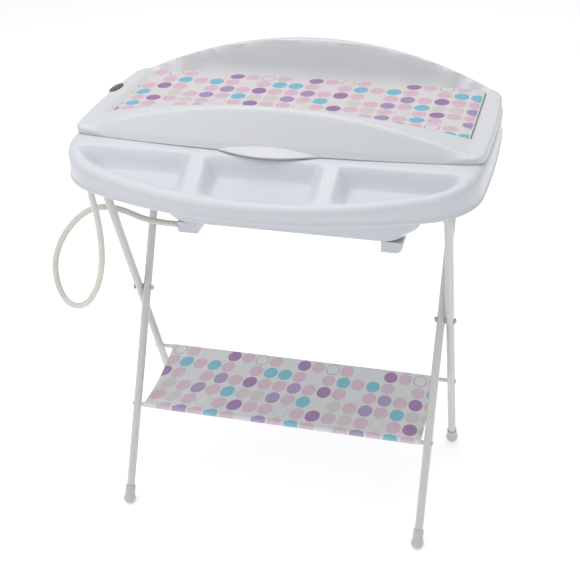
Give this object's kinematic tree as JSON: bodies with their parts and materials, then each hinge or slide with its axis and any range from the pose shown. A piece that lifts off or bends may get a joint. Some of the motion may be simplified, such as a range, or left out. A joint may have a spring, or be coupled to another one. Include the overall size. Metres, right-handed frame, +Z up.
{
  "type": "changing table",
  "caption": "Changing table: baby bath with a three-part tray front on a folding tube stand, hinged padded changing top, drain hose and cloth shelf.",
  "frame": {"origin": "on the floor, under the middle of the stand, bath and top", "axes": "+Z up, +X to the right of a user who stands at -Y and faces +Y"},
  "size_m": [1.0036, 0.655, 0.992],
  "materials": {
    "stand_tube": "satin white paint",
    "foot_cap": "satin off-white",
    "fastener": "satin",
    "shelf_cloth": "woven cloth with a dot print",
    "bath_plastic": "soft gloss white",
    "top_plastic": "soft gloss white",
    "clip_plastic": "satin white",
    "hose": "satin off-white",
    "ring_rubber": "dark red",
    "buffer_rubber": "pale grey",
    "mat_vinyl": "smooth coated cloth with a dot print",
    "badge": "dark grey gloss"
  },
  "bodies": {
    "inner_frame": {"inner_left_leg": "stand_tube", "inner_right_leg": "stand_tube", "inner_crossbar": "stand_tube", "inner_left_foot": "foot_cap", "inner_right_foot": "foot_cap", "shelf_front_rod": "stand_tube", "front_rod_screws": "fastener", "pivot_bolts": "fastener", "pivot_nuts": "fastener", "pivot_spacers": "foot_cap", "shelf_fabric": "shelf_cloth"},
    "outer_frame": {"outer_left_leg": "stand_tube", "outer_right_leg": "stand_tube", "outer_crossbar": "stand_tube", "outer_left_foot": "foot_cap", "outer_right_foot": "foot_cap", "shelf_rear_rod": "stand_tube", "rear_rod_screws": "fastener"},
    "bath": {"bath_tub": "bath_plastic", "front_saddles": "clip_plastic", "rear_saddles": "clip_plastic", "right_bath_foot": "bath_plastic", "drain_housing": "bath_plastic", "drain_strainer": "fastener", "hose_ring": "ring_rubber", "drain_hose": "hose", "hose_end_clip": "clip_plastic", "hinge_brackets": "clip_plastic", "hinge_pins": "fastener", "rim_buffers": "buffer_rubber"},
    "top": {"changing_top": "top_plastic", "hinge_knuckles": "clip_plastic", "changing_mat": "mat_vinyl", "side_badge": "badge"},
    "plug": {"drain_plug": "clip_plastic", "plug_seal": "buffer_rubber"}
  },
  "joints": [
    {"name": "tub_lift", "type": "slide", "parent": "inner_frame", "child": "bath", "axis": [0, 0, 1], "range_m": [0, 0.68]},
    {"name": "stand_fold", "type": "hinge", "parent": "inner_frame", "child": "outer_frame", "pos_m": [0, -0.031, 0.468], "axis": [-1, 0, 0], "range_deg": [0, 43], "deforming": ["shelf_fabric"]},
    {"name": "lid_hinge", "type": "hinge", "parent": "bath", "child": "top", "pos_m": [0, 0.323, 0.8945], "axis": [-1, 0, 0], "range_deg": [0, 95]},
    {"name": "drain_plug_lift", "type": "slide", "parent": "bath", "child": "plug", "axis": [0, 0, 1], "range_m": [0, 0.03]}
  ],
  "couplings": [
    {"joint": "stand_fold", "follows": "tub_lift", "rad_per_m": 1.1}
  ]
}
